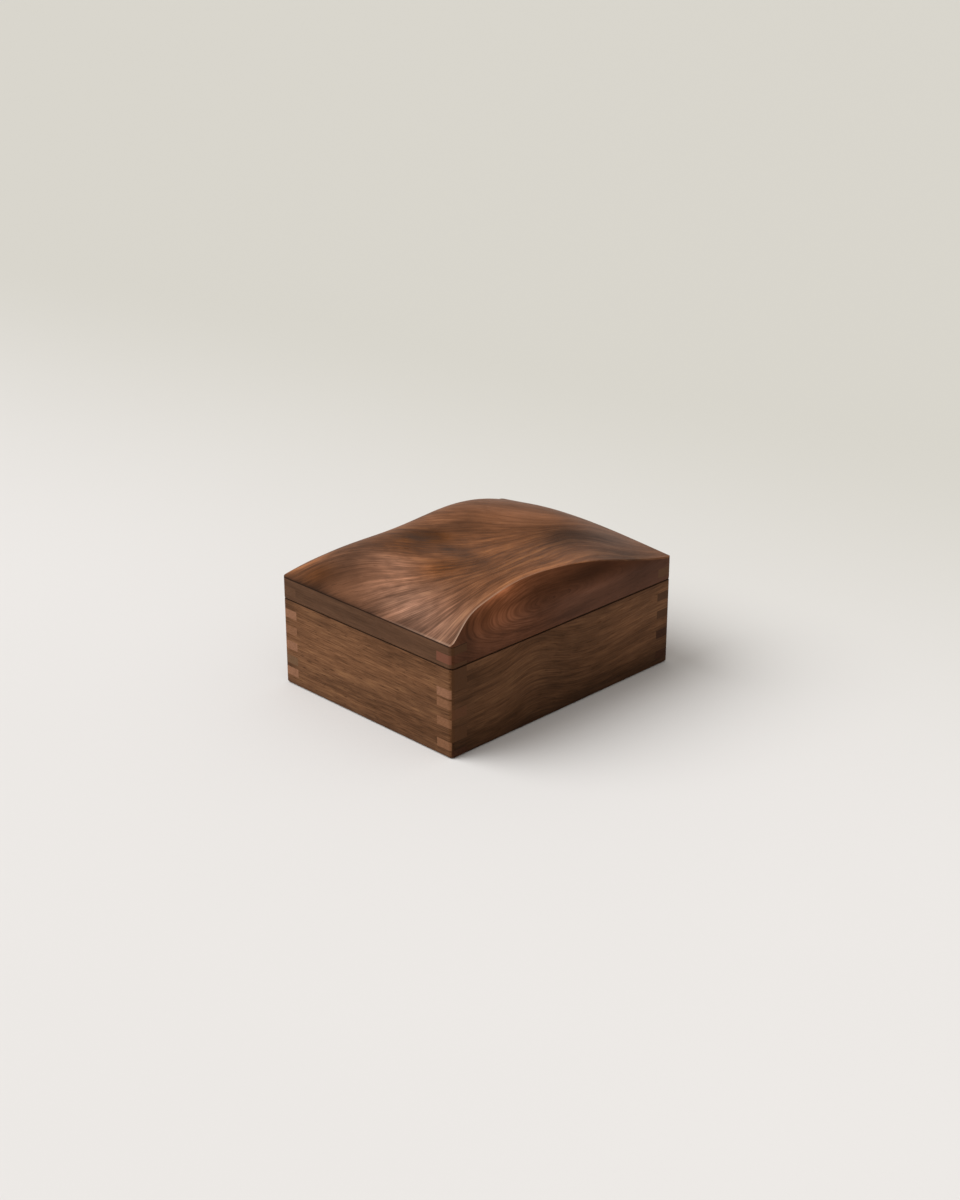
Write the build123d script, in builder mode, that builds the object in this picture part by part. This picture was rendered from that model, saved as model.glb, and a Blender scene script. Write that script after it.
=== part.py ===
"""Walnut keepsake box: a finger-jointed case, a finger-jointed lid frame under one carved crown,
and two brass butt hinges let into the back. Millimetres, +Z up, the front faces -Y."""
from build123d import *
import os

os.makedirs("parts", exist_ok=True)

# Case and lid
box_width = 203.0
box_depth = 157.0
body_height = 60.3
seam_gap = 0.3
lid_rail_height = 14.6
wall_thickness = 13.0
corner_radius = 3.0
foot_arris = 1.2
seam_arris = 0.5
overrun = 6.0

# Finger joints: each finger is one tongue of end grain that shows on the other board's face
finger_height = 5.8
lid_finger_height = 6.0
front_left_finger_shares = (0.14, 0.39, 0.60, 0.72)
back_left_finger_shares = (0.16, 0.30, 0.47, 0.65, 0.84)
right_finger_shares = (0.13, 0.38, 0.62, 0.83)
lid_left_finger_shares = (0.41,)
lid_right_finger_shares = (0.45,)

# Bottom panel, loose in a groove round the walls
panel_thickness = 4.5
panel_height = 4.0
groove_depth = 5.0
groove_clearance = 0.1
panel_end_clearance = 0.4

# Carved crown of the lid: heights over a plan that runs left to right and front to back
crown_lip = 0.5
crown_height = 22.0
roll_radius = 31.4
crown_width_shares = (0, 0.07, 0.17, 0.32, 0.48, 0.66, 0.85, 1)
crown_section_shares = (
    (-0.04, (0, 0.64, 0.87, 1.01, 0.96, 0.72, 0.26, 0)),
    (0.12, (0, 0.52, 0.81, 0.98, 0.95, 0.74, 0.42, 0.09)),
    (0.35, (0, 0.34, 0.62, 0.81, 0.81, 0.70, 0.67, 0.20)),
    (0.60, (0, 0.29, 0.54, 0.70, 0.64, 0.81, 0.81, 0.23)),
    (0.82, (0, 0.31, 0.55, 0.66, 0.62, 0.86, 0.64, 0.12)),
    (0.94, (0, 0.23, 0.42, 0.47, 0.48, 0.59, 0.37, 0.02)),
    (1.04, (0, 0.00, 0.00, 0.00, 0.00, -0.04, -0.14, -0.04)),
)

# Butt hinges: two leaves each, knuckles in turn on one pin, countersunk for small screws
hinge_length = 32.0
hinge_inset = 30.0
barrel_radius = 2.25
pin_radius = 1.1
pin_clearance = 0.05
pin_standoff = 0.6
leaf_width = 10.0
leaf_thickness = 1.4
leaf_gap = 0.2
knuckle_count = 3
knuckle_clearance = 0.1
mortise_clearance = 0.1
barrel_clearance = 0.35
holes_per_leaf = 2
hole_end_distance = 7.0
hole_radius = 1.15
countersink_radius = 2.2
countersink_height = 1.0

# Places that follow from the sizes; the origin is the middle of the whole footprint, barrels included
overall_depth = box_depth + pin_standoff + barrel_radius
left_x, right_x = -box_width / 2, box_width / 2
front_y = -overall_depth / 2
back_y = front_y + box_depth
middle_y = (front_y + back_y) / 2
lid_base = body_height + seam_gap
band_top = lid_base + lid_rail_height
inner_left, inner_right = left_x + wall_thickness, right_x - wall_thickness
inner_front, inner_back = front_y + wall_thickness, back_y - wall_thickness
groove_low = panel_height - groove_clearance
groove_high = panel_height + panel_thickness + groove_clearance
pin_y = back_y + pin_standoff
pin_z = body_height + seam_gap / 2
hinge_places = {
    "left": left_x + hinge_inset + hinge_length / 2,
    "right": right_x - hinge_inset - hinge_length / 2,
}
knuckle_length = hinge_length / knuckle_count
hole_pitch = (hinge_length - 2 * hole_end_distance) / (holes_per_leaf - 1)
hole_y = pin_y - (barrel_radius + leaf_width) / 2


def block(x_span, y_span, z_span, mode=Mode.ADD):
    """A box between two values on each axis, added to or cut from the piece being made."""
    spans = (x_span, y_span, z_span)
    with Locations(tuple((low + high) / 2 for low, high in spans)):
        Box(*(high - low for low, high in spans), mode=mode)


def round_bar(x_span, y, z, radius, mode=Mode.ADD):
    """A cylinder along X, added to or cut from the piece being made."""
    with BuildSketch(Plane.YZ.offset(x_span[0])) as end:
        with Locations((y, z)):
            Circle(radius)
    extrude(end.sketch, amount=x_span[1] - x_span[0], mode=mode)


def finger_spans(base, height, shares, size):
    """The low and high edge of each finger on a board that starts at base."""
    return [(base + height * share - size / 2, base + height * share + size / 2) for share in shares]


def left_board(base, height, front_fingers, back_fingers):
    """The left side: full depth, slotted for the fingers of the front and the back board."""
    x_span = (left_x, inner_left)
    block(x_span, (front_y, back_y), (base, base + height))
    for span in front_fingers:
        block(x_span, (front_y, inner_front), span, Mode.SUBTRACT)
    for span in back_fingers:
        block(x_span, (inner_back, back_y), span, Mode.SUBTRACT)


def right_board(base, height, fingers):
    """The right side: between the long boards, with fingers through both of them."""
    x_span = (inner_right, right_x)
    block(x_span, (inner_front, inner_back), (base, base + height))
    for span in fingers:
        block(x_span, (front_y, back_y), span)


def long_board(y_span, base, height, own_fingers, slots):
    """The front or the back: fingers through the left side, slots for those of the right side."""
    block((inner_left, right_x), y_span, (base, base + height))
    for span in own_fingers:
        block((left_x, inner_left), y_span, span)
    for span in slots:
        block((inner_right, right_x), y_span, span, Mode.SUBTRACT)


def panel_groove():
    """The groove that holds the bottom panel, cut round the inside of the walls."""
    x_span = (inner_left - groove_depth, inner_right + groove_depth)
    y_span = (inner_front - groove_depth, inner_back + groove_depth)
    block(x_span, y_span, (groove_low, groove_high), Mode.SUBTRACT)


def leaf_levels(up):
    """The inner and the outer face of a leaf: up is 1 in the lid and -1 in the case."""
    inner = pin_z + up * leaf_gap / 2
    return inner, inner + up * leaf_thickness


def hinge_mortise(hinge_x, up):
    """The pocket for a leaf and the cove round the barrel."""
    reach = hinge_length / 2 + mortise_clearance
    x_span = (hinge_x - reach, hinge_x + reach)
    inner, outer = leaf_levels(up)
    low, high = sorted((pin_z, outer + up * mortise_clearance))
    block(x_span, (pin_y - leaf_width - mortise_clearance, back_y + overrun), (low, high), Mode.SUBTRACT)
    round_bar(x_span, pin_y, pin_z, barrel_radius + barrel_clearance, Mode.SUBTRACT)


def screw_holes(hinge_x, up):
    """The countersunk holes of one leaf, opened from its inner face."""
    level = leaf_levels(up)[0]
    for index in range(holes_per_leaf):
        x = hinge_x - hinge_length / 2 + hole_end_distance + hole_pitch * index
        with Locations(Plane((x, hole_y, level), z_dir=(0, 0, -up))):
            with Locations((0, 0, -leaf_thickness / 2)):
                Cylinder(hole_radius, leaf_thickness, mode=Mode.SUBTRACT)
            with Locations((0, 0, -countersink_height / 2)):
                Cone(hole_radius, countersink_radius, countersink_height, mode=Mode.SUBTRACT)


def hinge_leaf(hinge_x, up, own_knuckles):
    """One leaf with its knuckles, bored for the pin and countersunk for its screws."""
    start = hinge_x - hinge_length / 2
    inner, outer = leaf_levels(up)
    low, high = sorted((inner, outer))
    block((start, start + hinge_length), (pin_y - leaf_width, pin_y), (low, high))
    for index in range(knuckle_count):
        x_span = (start + knuckle_length * index, start + knuckle_length * (index + 1))
        if index in own_knuckles:
            open_span = (x_span[0] + knuckle_clearance / 2, x_span[1] - knuckle_clearance / 2)
            round_bar(open_span, pin_y, pin_z, barrel_radius)
        else:
            wide_span = (x_span[0] - knuckle_clearance / 2, x_span[1] + knuckle_clearance / 2)
            block(wide_span, (pin_y - barrel_radius - knuckle_clearance, pin_y), (low, high), Mode.SUBTRACT)
    round_bar((start, start + hinge_length), pin_y, pin_z, pin_radius + pin_clearance, Mode.SUBTRACT)
    screw_holes(hinge_x, up)


def finish(piece, name):
    """Labels a piece and writes it."""
    piece.label = name
    export_step(piece, f"parts/{name}.step")


# The outline of the case, with rounded corners and eased arrises, which every wall is trimmed to
with BuildPart() as body_outline:
    with BuildSketch():
        with Locations((0, middle_y)):
            RectangleRounded(box_width, box_depth, corner_radius)
    extrude(amount=body_height)
    chamfer(body_outline.faces().sort_by(Axis.Z)[0].edges(), foot_arris)
    chamfer(body_outline.faces().sort_by(Axis.Z)[-1].edges(), seam_arris)

# The same outline for the lid frame
with BuildPart() as lid_outline:
    with BuildSketch(Plane.XY.offset(lid_base)):
        with Locations((0, middle_y)):
            RectangleRounded(box_width, box_depth, corner_radius)
    extrude(amount=lid_rail_height)
    chamfer(lid_outline.faces().sort_by(Axis.Z)[0].edges(), seam_arris)

# Case walls
front_fingers = finger_spans(0, body_height, front_left_finger_shares, finger_height)
back_fingers = finger_spans(0, body_height, back_left_finger_shares, finger_height)
right_fingers = finger_spans(0, body_height, right_finger_shares, finger_height)

with BuildPart() as left_wall:
    left_board(0, body_height, front_fingers, back_fingers)
    panel_groove()
    add(body_outline.part, mode=Mode.INTERSECT)
finish(left_wall.part, "left_wall")

with BuildPart() as right_wall:
    right_board(0, body_height, right_fingers)
    panel_groove()
    add(body_outline.part, mode=Mode.INTERSECT)
finish(right_wall.part, "right_wall")

with BuildPart() as front_wall:
    long_board((front_y, inner_front), 0, body_height, front_fingers, right_fingers)
    panel_groove()
    add(body_outline.part, mode=Mode.INTERSECT)
finish(front_wall.part, "front_wall")

with BuildPart() as back_wall:
    long_board((inner_back, back_y), 0, body_height, back_fingers, right_fingers)
    panel_groove()
    add(body_outline.part, mode=Mode.INTERSECT)
    for hinge_x in hinge_places.values():
        hinge_mortise(hinge_x, -1)
finish(back_wall.part, "back_wall")

# Bottom panel, held by its edges in the groove
with BuildPart() as bottom_panel:
    edge = groove_depth - panel_end_clearance
    block(
        (inner_left - edge, inner_right + edge),
        (inner_front - edge, inner_back + edge),
        (panel_height, panel_height + panel_thickness),
    )
finish(bottom_panel.part, "bottom_panel")

# Lid frame
lid_left_fingers = finger_spans(lid_base, lid_rail_height, lid_left_finger_shares, lid_finger_height)
lid_right_fingers = finger_spans(lid_base, lid_rail_height, lid_right_finger_shares, lid_finger_height)

with BuildPart() as lid_left_rail:
    left_board(lid_base, lid_rail_height, lid_left_fingers, lid_left_fingers)
    add(lid_outline.part, mode=Mode.INTERSECT)
finish(lid_left_rail.part, "lid_left_rail")

with BuildPart() as lid_right_rail:
    right_board(lid_base, lid_rail_height, lid_right_fingers)
    add(lid_outline.part, mode=Mode.INTERSECT)
finish(lid_right_rail.part, "lid_right_rail")

with BuildPart() as lid_front_rail:
    long_board((front_y, inner_front), lid_base, lid_rail_height, lid_left_fingers, lid_right_fingers)
    add(lid_outline.part, mode=Mode.INTERSECT)
finish(lid_front_rail.part, "lid_front_rail")

with BuildPart() as lid_back_rail:
    long_board((inner_back, back_y), lid_base, lid_rail_height, lid_left_fingers, lid_right_fingers)
    add(lid_outline.part, mode=Mode.INTERSECT)
    for hinge_x in hinge_places.values():
        hinge_mortise(hinge_x, 1)
finish(lid_back_rail.part, "lid_back_rail")

# Carved top: a smooth loft of sections across the width, trimmed to the outline and to the front roll
with BuildPart() as lid_top_panel:
    edge_level = band_top + crown_lip
    for place_share, height_shares in crown_section_shares:
        crest = [
            (left_x + box_width * across, edge_level + crown_height * height)
            for across, height in zip(crown_width_shares, height_shares)
        ]
        with BuildSketch(Plane.XZ.offset(-(front_y + box_depth * place_share))):
            with BuildLine():
                Spline(*crest)
                Polyline(
                    crest[-1],
                    (right_x + overrun, crest[-1][1]),
                    (right_x + overrun, band_top - overrun),
                    (left_x - overrun, band_top - overrun),
                    (left_x - overrun, crest[0][1]),
                    crest[0],
                )
            make_face()
    loft()
    with BuildSketch(Plane.YZ.offset(left_x - overrun)):
        with BuildLine():
            roll_top = (front_y + roll_radius, edge_level + roll_radius)
            RadiusArc((front_y, edge_level), roll_top, roll_radius)
            Polyline(
                (front_y, edge_level),
                (front_y, band_top - overrun),
                (back_y + overrun, band_top - overrun),
                (back_y + overrun, edge_level + roll_radius),
                roll_top,
            )
        make_face()
    extrude(amount=box_width + 2 * overrun, mode=Mode.INTERSECT)
    with BuildSketch(Plane.XY.offset(band_top)):
        with Locations((0, middle_y)):
            RectangleRounded(box_width, box_depth, corner_radius)
    extrude(amount=crown_lip + roll_radius + overrun, mode=Mode.INTERSECT)
finish(lid_top_panel.part, "lid_top_panel")

# Hinges: the case leaf has the odd knuckle out, the lid leaf those between
case_knuckles = range(0, knuckle_count, 2)
lid_knuckles = range(1, knuckle_count, 2)
for side, hinge_x in hinge_places.items():
    with BuildPart() as case_leaf:
        hinge_leaf(hinge_x, -1, case_knuckles)
    finish(case_leaf.part, f"hinge_case_leaf_{side}")

    with BuildPart() as lid_leaf:
        hinge_leaf(hinge_x, 1, lid_knuckles)
    finish(lid_leaf.part, f"hinge_lid_leaf_{side}")

    with BuildPart() as hinge_pin:
        reach = hinge_length / 2
        round_bar((hinge_x - reach, hinge_x + reach), pin_y, pin_z, pin_radius)
    finish(hinge_pin.part, f"hinge_pin_{side}")
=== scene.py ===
"""Walnut keepsake box: carved crown, walnut figure, brass hinges and screws, on a pale studio floor."""
import math

import bmesh
import bpy
import numpy as np
from bpy.props import FloatProperty, FloatVectorProperty, IntProperty, PointerProperty
from mathutils import Matrix, Vector


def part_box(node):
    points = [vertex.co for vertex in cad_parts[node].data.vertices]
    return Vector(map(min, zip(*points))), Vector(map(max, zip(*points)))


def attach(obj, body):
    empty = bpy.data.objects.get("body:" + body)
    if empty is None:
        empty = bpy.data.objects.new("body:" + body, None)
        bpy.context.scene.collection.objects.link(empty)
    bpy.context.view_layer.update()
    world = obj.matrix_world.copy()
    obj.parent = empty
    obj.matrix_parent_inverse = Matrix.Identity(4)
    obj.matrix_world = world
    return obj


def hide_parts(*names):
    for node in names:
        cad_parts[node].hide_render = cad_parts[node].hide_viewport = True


bl_info = {
    "name": "Walnut keepsake box",
    "version": (1, 0, 0),
    "blender": (4, 5, 0),
    "location": "3D View > Sidebar > Keepsake box",
    "description": "Finishes a finger-jointed walnut box with a carved crown and brass butt hinges",
    "category": "Object",
}

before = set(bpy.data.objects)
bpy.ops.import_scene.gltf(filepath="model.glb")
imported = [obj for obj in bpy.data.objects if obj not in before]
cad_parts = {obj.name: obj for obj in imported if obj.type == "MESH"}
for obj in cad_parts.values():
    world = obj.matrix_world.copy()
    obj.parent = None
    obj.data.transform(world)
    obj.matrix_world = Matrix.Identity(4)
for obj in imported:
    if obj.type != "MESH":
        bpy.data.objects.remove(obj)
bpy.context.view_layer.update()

MM = 0.001
CASE_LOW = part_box("left_wall")[0]
FRONT_LOW, FRONT_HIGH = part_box("front_wall")
RAIL_LOW, RAIL_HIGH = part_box("lid_left_rail")
CROWN_LOW, CROWN_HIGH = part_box("lid_top_panel")
BOX_WIDTH = CROWN_HIGH.x - CROWN_LOW.x
BOX_DEPTH = CROWN_HIGH.y - CROWN_LOW.y
CASE_HEIGHT = FRONT_HIGH.z - FRONT_LOW.z
SEAM = (FRONT_HIGH.z + RAIL_LOW.z) / 2

# Heights of the carved crown, as shares of its height, over a plan of shares: across the width, then
# from front to back
CROWN_WIDTH_SHARES = (0, 0.07, 0.17, 0.32, 0.48, 0.66, 0.85, 1)
CROWN_SECTION_SHARES = (
    (-0.04, (0, 0.56, 0.83, 0.98, 0.94, 0.72, 0.26, 0)),
    (0.12, (0, 0.46, 0.77, 0.95, 0.93, 0.74, 0.42, 0.09)),
    (0.35, (0, 0.34, 0.62, 0.81, 0.81, 0.70, 0.67, 0.20)),
    (0.60, (0, 0.29, 0.54, 0.70, 0.64, 0.81, 0.81, 0.23)),
    (0.82, (0, 0.31, 0.55, 0.66, 0.62, 0.86, 0.64, 0.12)),
    (0.94, (0, 0.23, 0.42, 0.47, 0.48, 0.59, 0.39, 0.02)),
    (1.04, (0, 0.00, 0.00, 0.00, 0.00, -0.04, -0.14, -0.06)),
)

# How the grain runs over the carved top: the distance across the grain in millimetres, then places
# along that line, as shares of the width and the depth
GRAIN_LINES = (
    (0, ((0.03, 0.01), (0.15, 0.04), (0.37, 0.07), (0.56, 0.05), (0.80, 0.03), (0.99, 0.00))),
    (8, ((0.01, 0.12), (0.11, 0.08), (0.29, 0.10), (0.59, 0.12), (0.78, 0.10), (0.95, 0.03))),
    (18, (
        (0.01, 0.26), (0.07, 0.19), (0.15, 0.15), (0.31, 0.17), (0.41, 0.17), (0.65, 0.21), (0.77, 0.17),
    )),
    (32, (
        (0.00, 0.50), (0.08, 0.39), (0.21, 0.27), (0.37, 0.20), (0.50, 0.25), (0.63, 0.30), (0.76, 0.33),
    )),
    (42, ((0.05, 0.55), (0.18, 0.40), (0.32, 0.27), (0.42, 0.27), (0.55, 0.29), (0.67, 0.32))),
    (50, (
        (0.16, 0.64), (0.20, 0.52), (0.26, 0.43), (0.36, 0.31), (0.46, 0.32), (0.59, 0.34), (0.69, 0.34),
    )),
    (62, ((0.25, 0.76), (0.31, 0.58), (0.39, 0.52), (0.53, 0.41), (0.63, 0.40), (0.71, 0.36))),
    (78, ((0.44, 0.91), (0.47, 0.80), (0.60, 0.63), (0.69, 0.51), (0.75, 0.41))),
    (92, ((0.60, 0.82), (0.71, 0.55), (0.77, 0.44), (0.82, 0.35))),
    (40, ((0.82, 0.22), (0.85, 0.14), (0.93, 0.09))),
    (66, ((0.88, 0.33), (0.94, 0.22), (0.99, 0.12))),
)
# How far the grain may leave those lines for a smoother flow
GRAIN_SMOOTHING = 0.02
# The crown's figure: what the distances across the grain are multiplied by, and how far it runs on for
# each metre along X and Y
ACROSS_STRETCH = 1.8
CROWN_RUN_X, CROWN_RUN_Y = 0.75, -0.65

# Steps of the crown's mesh: over its arris, in widths of the arris, and up the rounded front, and how
# closely they crowd towards the ridge from the front and from behind
ARRIS_STEPS = (0, 0.08, 0.2, 0.36, 0.55, 0.8, 1.0, 1.6, 3.0)
ARRIS_END = 5
FRONT_ROWS = 28
FRONT_CROWDING, BACK_CROWDING = 1.6, 1.25
RIDGE_HALVINGS = 30
CROWN_SHARP_ANGLE = math.radians(50)

# Layers of the walnut's figure, and their weights on the plain, the quiet and the lively boards, on the
# lid's front and on the carved top
FIGURE_LAYERS = ("bands", "mottle", "lines", "streaks", "threads", "fibres", "pores")
BLENDED_LAYERS = ("bands", "mottle", "streaks", "threads", "fibres")
PLAIN_FIGURE = dict(zip(FIGURE_LAYERS, (0.3, 0.1, 0.0, 0.1, 0.15, 0.3, 0.2)))
QUIET_FIGURE = dict(zip(FIGURE_LAYERS, (0.6, 0.1, 0.15, 0.3, 0.25, 0.7, 0.9)))
LIVELY_FIGURE = dict(zip(FIGURE_LAYERS, (0.7, 0.15, 0.25, 0.25, 0.2, 0.5, 0.5)))
FRONT_FIGURE = dict(zip(FIGURE_LAYERS, (0.6, 0.15, 0.05, 0.2, 0.15, 0.5, 0.45)))
CROWN_FIGURE = dict(zip(FIGURE_LAYERS, (0.8, 0.45, 0.2, 0.5, 0.4, 0.6, 0.7)))

# Sizes in the walnut along, across and into the grain: its slow wander and the rays in its end grain
GRAIN_DRIFT = (90 * MM, 26 * MM, 26 * MM)
BOARD_WANDER, CROWN_WANDER, FRONT_WANDER = 4 * MM, 2 * MM, 12 * MM
END_RAYS = (3 * MM, 0.9 * MM, 2 * MM)
RAY_EDGE, RAY_DEPTH = (0.40, 0.75), 0.45
# Growth lines over the bands' whole range, where each starts and peaks, and a pore's soft edge
GROWTH_LINES, LINE_START, LINE_PEAK = 11.0, 0.2, 0.85
PORE_EDGE = (0.58, 0.72)
# Where the four tones stand between the figure's darkest and palest
TONE_STOPS = (0.16, 0.40, 0.58, 0.84)
# How much rougher the oiled surface is over each layer, and by how much in the mean
ROUGHENING = (("fibres", 0.14), ("pores", 0.2), ("streaks", 0.08))
MEAN_ROUGHENING = 0.11
FIBRE_RELIEF = 0.12 * MM

# Painted shade, with oil and dust, in the joints: their reach each side of the seam, from the crown's glue
# line down and up, their width round the crown's edge, and how far they cover the wood at most
SEAM_DUST_AND_SHADE = (0.40 * MM, 0.65 * MM)
GLUE_SHADE_BELOW, GLUE_SHADE_ABOVE = (0.5 * MM, 0.3 * MM), (0.8 * MM, 1.3 * MM)
GLUE_SHADE_WIDTH, GLUE_SHADE_START = 0.2 * MM, 1.25
DUST_AND_SHADE_DEPTH = 0.9
LEVEL_FACE = (0.985, 0.999)
UNDERSIDE = 0.02 * MM
LEAST_EDGE = 0.05 * MM

# Heart of the ovals on the lid's front: its share of the width, its height over the glue line, and the
# ovals' height to length left and right of it
EYE_SHARE, EYE_LIFT = 0.43, 6 * MM
EYE_LEFT, EYE_RIGHT = 0.24, 0.11
# The bright hooks left of it: their middle and reach as shares of the width, their reach up, and the
# contrast that they add to the rest's
HOOKS_SHARE, HOOKS_REACH, HOOKS_HEIGHT = 0.27, 0.17, 30 * MM
HOOKS_CONTRAST, FRONT_CONTRAST = 0.8, 0.45
FRONT_SHADE, FRONT_RED = 0.45, 1.05
# The front is greyer low and right of the heart, and more amber from a height over the glue line on
GREY_SHARES, GREY_SATURATION = (0.38, 0.52), 0.93
AMBER_LIFT, AMBER_SATURATION = 10 * MM, 1.04
# Arches in the front board's grain: the middle and the reach as shares of the width, and the lift
FRONT_ARCHES = ((0.36, 0.12, -7 * MM), (0.66, 0.18, 3 * MM))
# Paler (over 0) and darker (under 0) places on a board: the middle, as shares of its length and height,
# the reach along and up in the same shares, and how much
LID_FRONT_PLACES = (
    (0.25, 0.55, 0.17, 0.37, 0.9),  # bright wood inside the hooks
    (0.15, 1.00, 0.25, 0.18, 1.0),  # and under the ridge's left end
    (0.25, 0.92, 0.09, 0.10, 0.5),
    (0.12, 0.48, 0.03, 0.12, 0.25),
    (0.36, 0.60, 0.11, 0.27, -0.75),  # dark edge of the heart
    (0.62, 0.72, 0.13, 0.13, -0.85),  # dark under the middle of the ridge
    (0.63, 0.42, 0.12, 0.07, 0.4),  # pale streak over the seam
    (0.50, 0.32, 0.05, 0.06, 0.2),
    (0.85, 0.40, 0.10, 0.50, -0.3),  # dark right end
    (0.06, 0.30, 0.05, 0.40, -0.5),  # dark near corner
    (0.50, 0.13, 0.09, 0.07, -0.35),
)
FRONT_PLACES = (
    (0.80, 0.70, 0.15, 0.45, 0.35),  # paler right half
    (0.97, 0.85, 0.05, 0.30, 0.3),
    (0.93, 0.45, 0.05, 0.10, 0.3),
    (0.85, 0.92, 0.07, 0.08, 0.15),
    (0.25, 0.90, 0.20, 0.10, 0.3),
    (0.45, 0.37, 0.10, 0.12, -0.4),  # dark swelling
    # painted shade: darker towards the floor
    (0.60, 0.00, 0.60, 0.20, -0.9),  # darker towards the floor
    (0.47, 0.62, 0.10, 0.15, -0.14),
    (0.08, 0.80, 0.07, 0.22, -0.28),  # dark under the lid's near corner
    (0.02, 0.15, 0.07, 0.35, -0.55),
)
LEFT_PLACES = (
    # painted light: paler over the far half
    (0.90, 0.60, 0.35, 0.40, 0.22),  # paler far half
    (0.50, 0.70, 0.20, 0.30, 0.1),
    (0.20, 0.70, 0.16, 0.08, 0.2),
    (0.18, 0.50, 0.20, 0.08, -0.1),
    (0.62, 0.27, 0.28, 0.08, -0.28),  # dark band that sinks towards the near corner
    (0.10, 0.12, 0.15, 0.07, -0.22),
    # painted shade: darker towards the floor
    (0.40, 0.00, 0.45, 0.08, -0.5),  # darker towards the floor
    (0.97, 0.23, 0.04, 0.06, -0.5),  # dark stripes beside the far fingers
    (0.97, 0.93, 0.04, 0.06, -0.4),
    (0.75, 0.90, 0.08, 0.06, -0.28),
    (0.32, 0.90, 0.10, 0.06, -0.18),
)
LEFT_RAIL_PLACES = (
    (0.80, 1.13, 0.20, 0.30, 0.1),
    (0.11, 1.13, 0.20, 0.30, 0.16),
)
# Paler and darker places on the carved top, the wood's own tone together with painted light: painted
# highlights and sheen on the pale crease, the pale fan, the shoulder behind the ridge, the hump's crest
# and the strip along the far left edge, and painted shade, partly darker wood, in the dark patch and its
# tail, the dark fold, the hollow behind the ridge and the far half of the left edge. The middle and the
# reach, as shares of the width and the depth, the turn in degrees, and how much paler (over 0) or darker
# (under 0)
SHADE_SPOTS = (
    (0.43, 0.75, 0.09, 0.07, -60, -1.2),  # dark patch left of the hump
    (0.60, 0.70, 0.07, 0.06, 0, -0.5),  # and its tail along the hump
    (0.39, 0.45, 0.15, 0.04, 75, -0.6),  # dark fold right of the pale crease
    (0.72, 0.30, 0.10, 0.10, -10, -0.8),  # hollow behind the ridge
    (0.83, 0.26, 0.11, 0.06, -20, -0.7),
    (0.77, 0.33, 0.06, 0.025, -35, -0.5),  # line in which the grain gathers
    (0.81, 0.04, 0.12, 0.07, 0, -0.9),  # right end of the ridge
    (0.10, 0.81, 0.12, 0.07, 0, -0.55),  # smooth far left
    (0.00, 0.80, 0.02, 0.30, 0, -0.5),  # far half of the left edge
    (0.00, 0.75, 0.005, 0.30, 0, -0.6),  # and its arris
    (0.00, 0.47, 0.04, 0.02, -30, -0.5),  # dark streak at the left edge
    (0.43, 0.24, 0.27, 0.05, 0, -0.2),
    (0.04, 0.84, 0.05, 0.06, 0, -0.16),
    (0.84, 0.17, 0.07, 0.05, 0, -0.12),
    (0.28, 0.40, 0.08, 0.09, 0, -0.25),
    (0.16, 0.56, 0.11, 0.08, 65, 0.9),  # pale crease
    (0.23, 0.45, 0.05, 0.06, 0, 0.55),
    (0.07, 0.32, 0.09, 0.03, -36, 0.7),  # pale fan towards the near corner
    (0.06, 0.17, 0.08, 0.06, 0, 0.6),
    (0.41, 0.04, 0.17, 0.03, 0, 0.6),  # pale shoulder behind the ridge
    (0.67, 0.68, 0.23, 0.04, -50, 0.35),  # crest of the hump
    (0.78, 0.55, 0.12, 0.07, -50, 0.1),  # and its near side
    (0.10, 0.95, 0.09, 0.02, -18, 0.45),  # strip along the far left edge
)
# The same for places with a warmer (over 0) or greyer brown (under 0): the wood's own warmth, and painted
# sheen in the greyer places near the near corner, on the hump, behind the ridge's right end and by the
# crease
WARMTH_AND_SHEEN_SPOTS = (
    (0.48, 0.33, 0.35, 0.25, 15, 0.12),
    (0.36, 0.73, 0.09, 0.13, 30, 0.18),
    (0.44, 0.74, 0.07, 0.05, -60, 0.3),
    (0.05, 0.85, 0.05, 0.06, 0, 0.12),
    (0.27, 0.42, 0.09, 0.07, 0, 0.1),
    (0.73, 0.55, 0.12, 0.10, 0, -0.05),
    (0.05, 0.25, 0.11, 0.32, -15, -0.19),
    (0.88, 0.22, 0.12, 0.10, 10, -0.21),
    (0.22, 0.62, 0.06, 0.20, -10, -0.08),
    (0.10, 0.95, 0.09, 0.02, -18, 0.1),
)
# The same for places with a stronger (over 0) or quieter (under 0) figure
CONTRAST_SPOTS = (
    (0.06, 0.75, 0.12, 0.14, 0, -0.6),
    (0.02, 0.58, 0.06, 0.10, 0, -0.45),
    (0.75, 0.60, 0.26, 0.16, -35, -0.6),
    (0.14, 0.45, 0.08, 0.10, 60, 0.2),
    (0.92, 0.15, 0.10, 0.10, 0, -0.4),
    (0.55, 0.33, 0.16, 0.07, 15, 0.2),
)

# End grain in the joints: the middle of each finger, as a share of the wall's height, and its tone
NEAR_FINGERS = ((0.14, "tan"), (0.39, "tan"), (0.60, "tan"), (0.72, "pale"))
FAR_FINGERS = ((0.16, "pale"), (0.30, "grey"), (0.47, "pale"), (0.65, "tan"), (0.84, "pale"))
# The ends that show on the shaded front face take the tones with painted shade
RIGHT_FINGERS = ((0.13, "dark"), (0.38, "dark"), (0.62, "umber"), (0.83, "umber"))
NEAR_FRONT_FINGERS = (
    (0.05, "dark"), (0.27, "umber"), (0.50, "russet"), (0.66, "umber"), (0.88, "umber"),
)
LID_FRONT_FINGER = ((0.50, "umber"),)
END_SHADE = 0.9

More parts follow.
